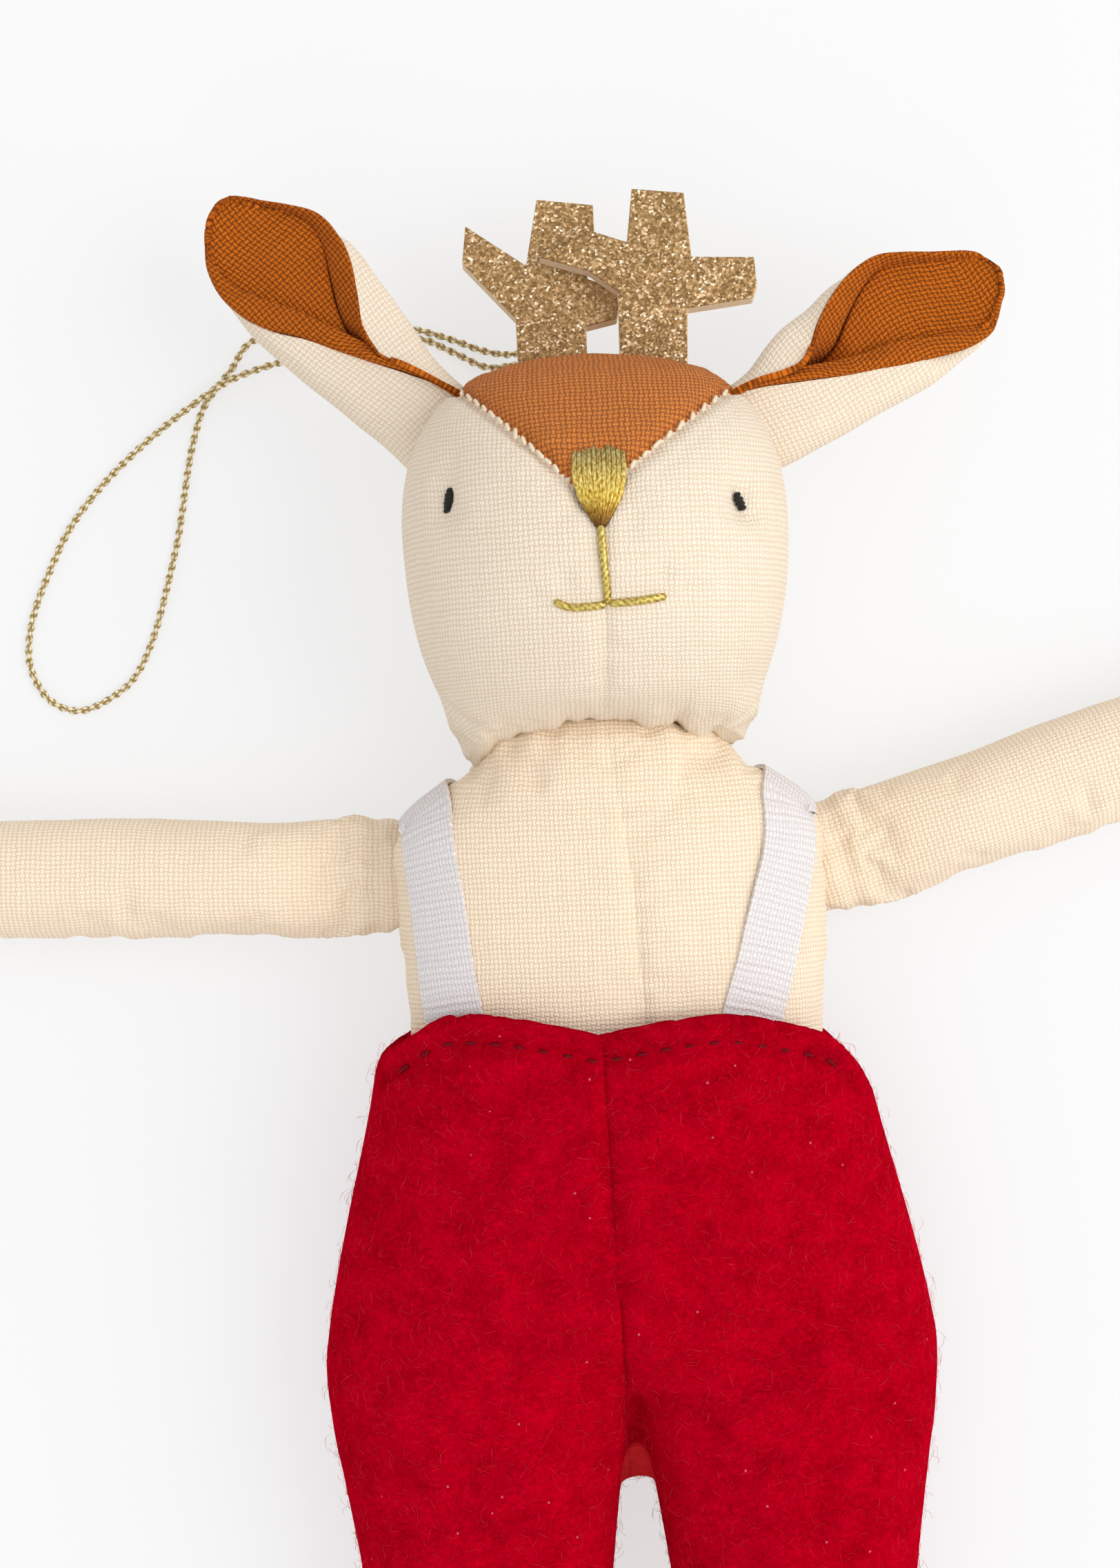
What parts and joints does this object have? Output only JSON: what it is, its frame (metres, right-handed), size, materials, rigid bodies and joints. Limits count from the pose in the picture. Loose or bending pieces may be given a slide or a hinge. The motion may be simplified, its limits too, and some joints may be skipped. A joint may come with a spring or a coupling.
{
  "type": "reindeer ornament",
  "caption": "Stuffed cloth reindeer ornament with long arms, felt trousers, tape braces, glittered antlers and a hanging cord.",
  "frame": {"origin": "middle of the flat that the back of the torso rests on, level with the shoulders", "axes": "+X to the right as the face is seen, +Y towards the top of the head, +Z out of the face"},
  "size_m": [0.2204, 0.2424, 0.0493],
  "materials": {
    "cream_linen": "plain-weave cream linen, matt",
    "rust_linen": "plain-weave rust-brown linen, matt",
    "crimson_felt": "fuzzy crimson wool felt, matt",
    "white_tape": "ribbed white woven tape, slight sheen",
    "gold_thread": "metallic gold embroidery thread and cord",
    "black_thread": "black embroidery thread",
    "gold_glitter_sheet": "coarse gold glitter on a pale beige sheet",
    "polyester_fill": "white polyester fibre fill",
    "crimson_thread": "crimson sewing thread"
  },
  "bodies": {
    "body": {"head_side_left": "cream_linen", "head_side_right": "cream_linen", "crown_gusset": "rust_linen", "head_stuffing": "polyester_fill", "nose_embroidery": "gold_thread", "left_eye": "black_thread", "right_eye": "black_thread", "mouth_stitch": "gold_thread", "lip_stitch": "gold_thread", "left_antler": "gold_glitter_sheet", "right_antler": "gold_glitter_sheet", "cord_knot": "gold_thread", "hanging_cord": "gold_thread", "torso_front_left": "cream_linen", "torso_front_right": "cream_linen", "torso_back": "cream_linen", "torso_stuffing": "polyester_fill", "left_strap": "white_tape", "right_strap": "white_tape", "trouser_seat_left": "crimson_felt", "trouser_seat_right": "crimson_felt", "waist_hem_stitch": "crimson_thread"},
    "left_arm": {"left_arm_cloth": "cream_linen", "left_arm_stuffing": "polyester_fill"},
    "right_arm": {"right_arm_cloth": "cream_linen", "right_arm_stuffing": "polyester_fill"},
    "left_leg": {"left_trouser_leg": "crimson_felt", "left_leg_cloth": "cream_linen", "left_leg_stuffing": "polyester_fill"},
    "right_leg": {"right_trouser_leg": "crimson_felt", "right_leg_cloth": "cream_linen", "right_leg_stuffing": "polyester_fill"},
    "left_ear": {"left_ear_outer": "cream_linen", "left_ear_lining": "rust_linen"},
    "right_ear": {"right_ear_outer": "cream_linen", "right_ear_lining": "rust_linen"}
  },
  "joints": [
    {"name": "left_arm_swing", "type": "hinge", "parent": "body", "child": "left_arm", "pos_m": [-0.0294, 0.0013, 0.0092], "axis": [0, 0, -1], "range_deg": [-65.7, 48.3]},
    {"name": "right_arm_swing", "type": "hinge", "parent": "body", "child": "right_arm", "pos_m": [0.0294, 0.0013, 0.0092], "axis": [0, 0, 1], "range_deg": [-79.6, 34.4]},
    {"name": "left_leg_lift", "type": "hinge", "parent": "body", "child": "left_leg", "pos_m": [-0.01965, -0.06, 0.018], "axis": [-1, 0, 0], "range_deg": [0, 90]},
    {"name": "right_leg_lift", "type": "hinge", "parent": "body", "child": "right_leg", "pos_m": [0.01965, -0.06, 0.018], "axis": [-1, 0, 0], "range_deg": [0, 90]},
    {"name": "left_ear_fold", "type": "hinge", "parent": "body", "child": "left_ear", "pos_m": [-0.0197, 0.0575, 0.0266], "axis": [0.7793, 0.6266, 0], "range_deg": [0, 35]},
    {"name": "right_ear_fold", "type": "hinge", "parent": "body", "child": "right_ear", "pos_m": [0.0208, 0.0555, 0.02675], "axis": [0.4679, -0.8838, 0], "range_deg": [0, 35]}
  ]
}
